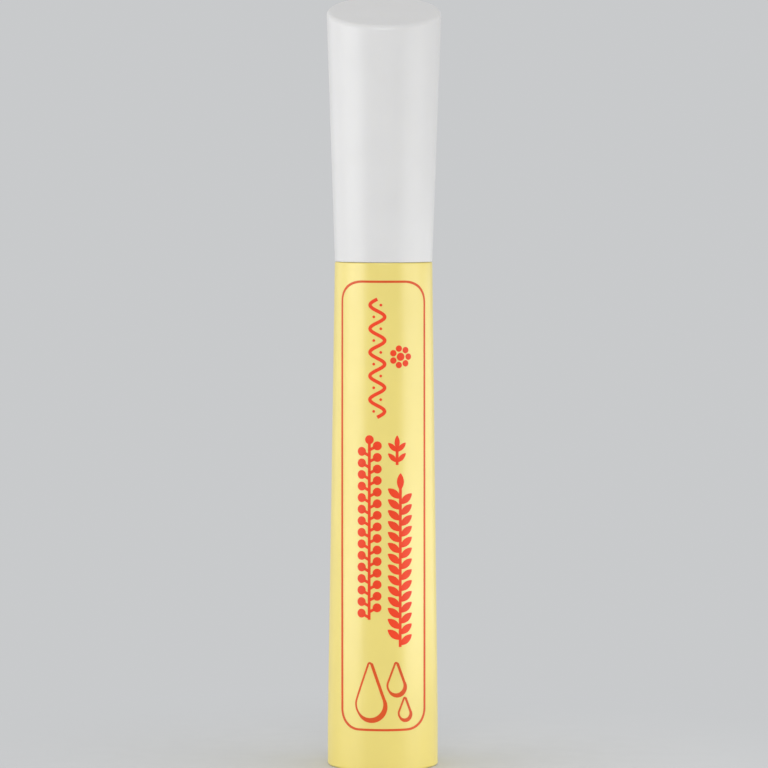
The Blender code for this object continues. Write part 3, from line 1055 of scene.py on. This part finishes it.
def softbox(name, place, target, width, height, power):
    """A rectangular lamp that faces its target and isn't seen itself."""
    light = bpy.data.lights.new(name, "AREA")
    light.shape = "RECTANGLE"
    light.size = width
    light.size_y = height
    light.energy = power
    lamp = linked(name, light)
    lamp.location = place
    aim = Vector(target) - Vector(place)
    lamp.rotation_euler = aim.to_track_quat("-Z", "Y").to_euler()
    lamp.visible_camera = False


def side_box(name, side, turn, kind, power):
    """An upright box to the left or right of the pen, turned round it from the front."""
    distance, top = kind
    middle = (BOX_BOTTOM + top) / 2
    place = (side * distance * math.sin(turn), -distance * math.cos(turn), middle)
    width = 2 * distance * math.tan(BOX_SPREAD)
    softbox(name, place, (0.0, 0.0, middle), width, top - BOX_BOTTOM, power)


def make_lights():
    """Tall boxes on both sides, low ones by the sleeve and by the foot, and a fill in front."""
    side_box("left_front", LEFT, FRONT_TURN, TALL_BOX, power=0.389)
    side_box("left_back", LEFT, BACK_TURN, TALL_BOX, power=0.136)
    side_box("left_foot_front", LEFT, FRONT_TURN, FOOT_BOX, power=0.0069)
    side_box("right_front", RIGHT, FRONT_TURN, TALL_BOX, power=0.197)
    side_box("right_low_front", RIGHT, FRONT_TURN, LOW_BOX, power=0.0134)
    side_box("right_low_back", RIGHT, BACK_TURN, LOW_BOX, power=0.0214)
    side_box("right_foot_front", RIGHT, FRONT_TURN, FOOT_BOX, power=0.0101)
    softbox("front_fill", FILL_PLACE, FILL_TARGET, FILL_WIDTH, FILL_HEIGHT, power=1.99)


def make_camera():
    """The camera in front of the pen, tipped down and rolled a little."""
    data = bpy.data.cameras.new("camera")
    data.lens = CAMERA_LENS
    data.sensor_width = CAMERA_SENSOR
    data.clip_start = CAMERA_CLIP
    camera = linked("camera", data)
    camera.location = CAMERA_PLACE
    pitch = Matrix.Rotation(math.pi / 2 - CAMERA_PITCH, 4, "X")
    roll = Matrix.Rotation(CAMERA_ROLL, 4, "Z")
    camera.rotation_euler = (pitch @ roll).to_euler()
    bpy.context.scene.camera = camera


def dress(piece, body, slot, *nodes):
    """Puts a piece on its body and hides the nodes it replaces; the slot is not used."""
    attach(piece, body)
    if nodes:
        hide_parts(*nodes)


def main():
    make_camera()
    make_world()
    make_lights()
    make_floor()

    dress(make_sleeve(), "bottle", "sleeve", "outer_sleeve")
    dress(make_plug(), "bottle", "base_plug", "base_plug")
    dress(make_vial(), "bottle", "vial", "inner_vial")
    dress(make_wiper(), "bottle", "wiper", "wiper")
    dress(make_washer(), "washer", "seal", "seal_washer")
    dress(make_rod(), "wand_rod", "rod", "rod")
    dress(make_tip(), "cap", "tip", "applicator_tip")
    dress(make_cap(), "cap", "cap", "cap_shell")
    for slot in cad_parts["inner_cap"].material_slots:
        slot.material = NATURAL

    neck_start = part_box("inner_vial")[1].z - THREAD_BELOW_MOUTH - THREAD_PITCH * THREAD_TURNS
    neck_thread = make_thread("neck_thread", NECK_RADIUS, 1, neck_start, CLEAR)
    dress(neck_thread, "bottle", "vial")
    core_start = neck_start - THREAD_PITCH / 2
    core_thread = make_thread("core_thread", CORE_THREAD_RADIUS, -1, core_start, NATURAL)
    dress(core_thread, "cap", "inner_cap")

    motifs = (make_frame, make_vine, make_rosette, make_sprout, make_leaf_sprig, make_berry_sprig,
              make_drops)
    for make_motif in motifs:
        dress(make_motif(), "bottle", "sleeve")


bpy.context.scene.view_settings.view_transform = "Standard"
main()
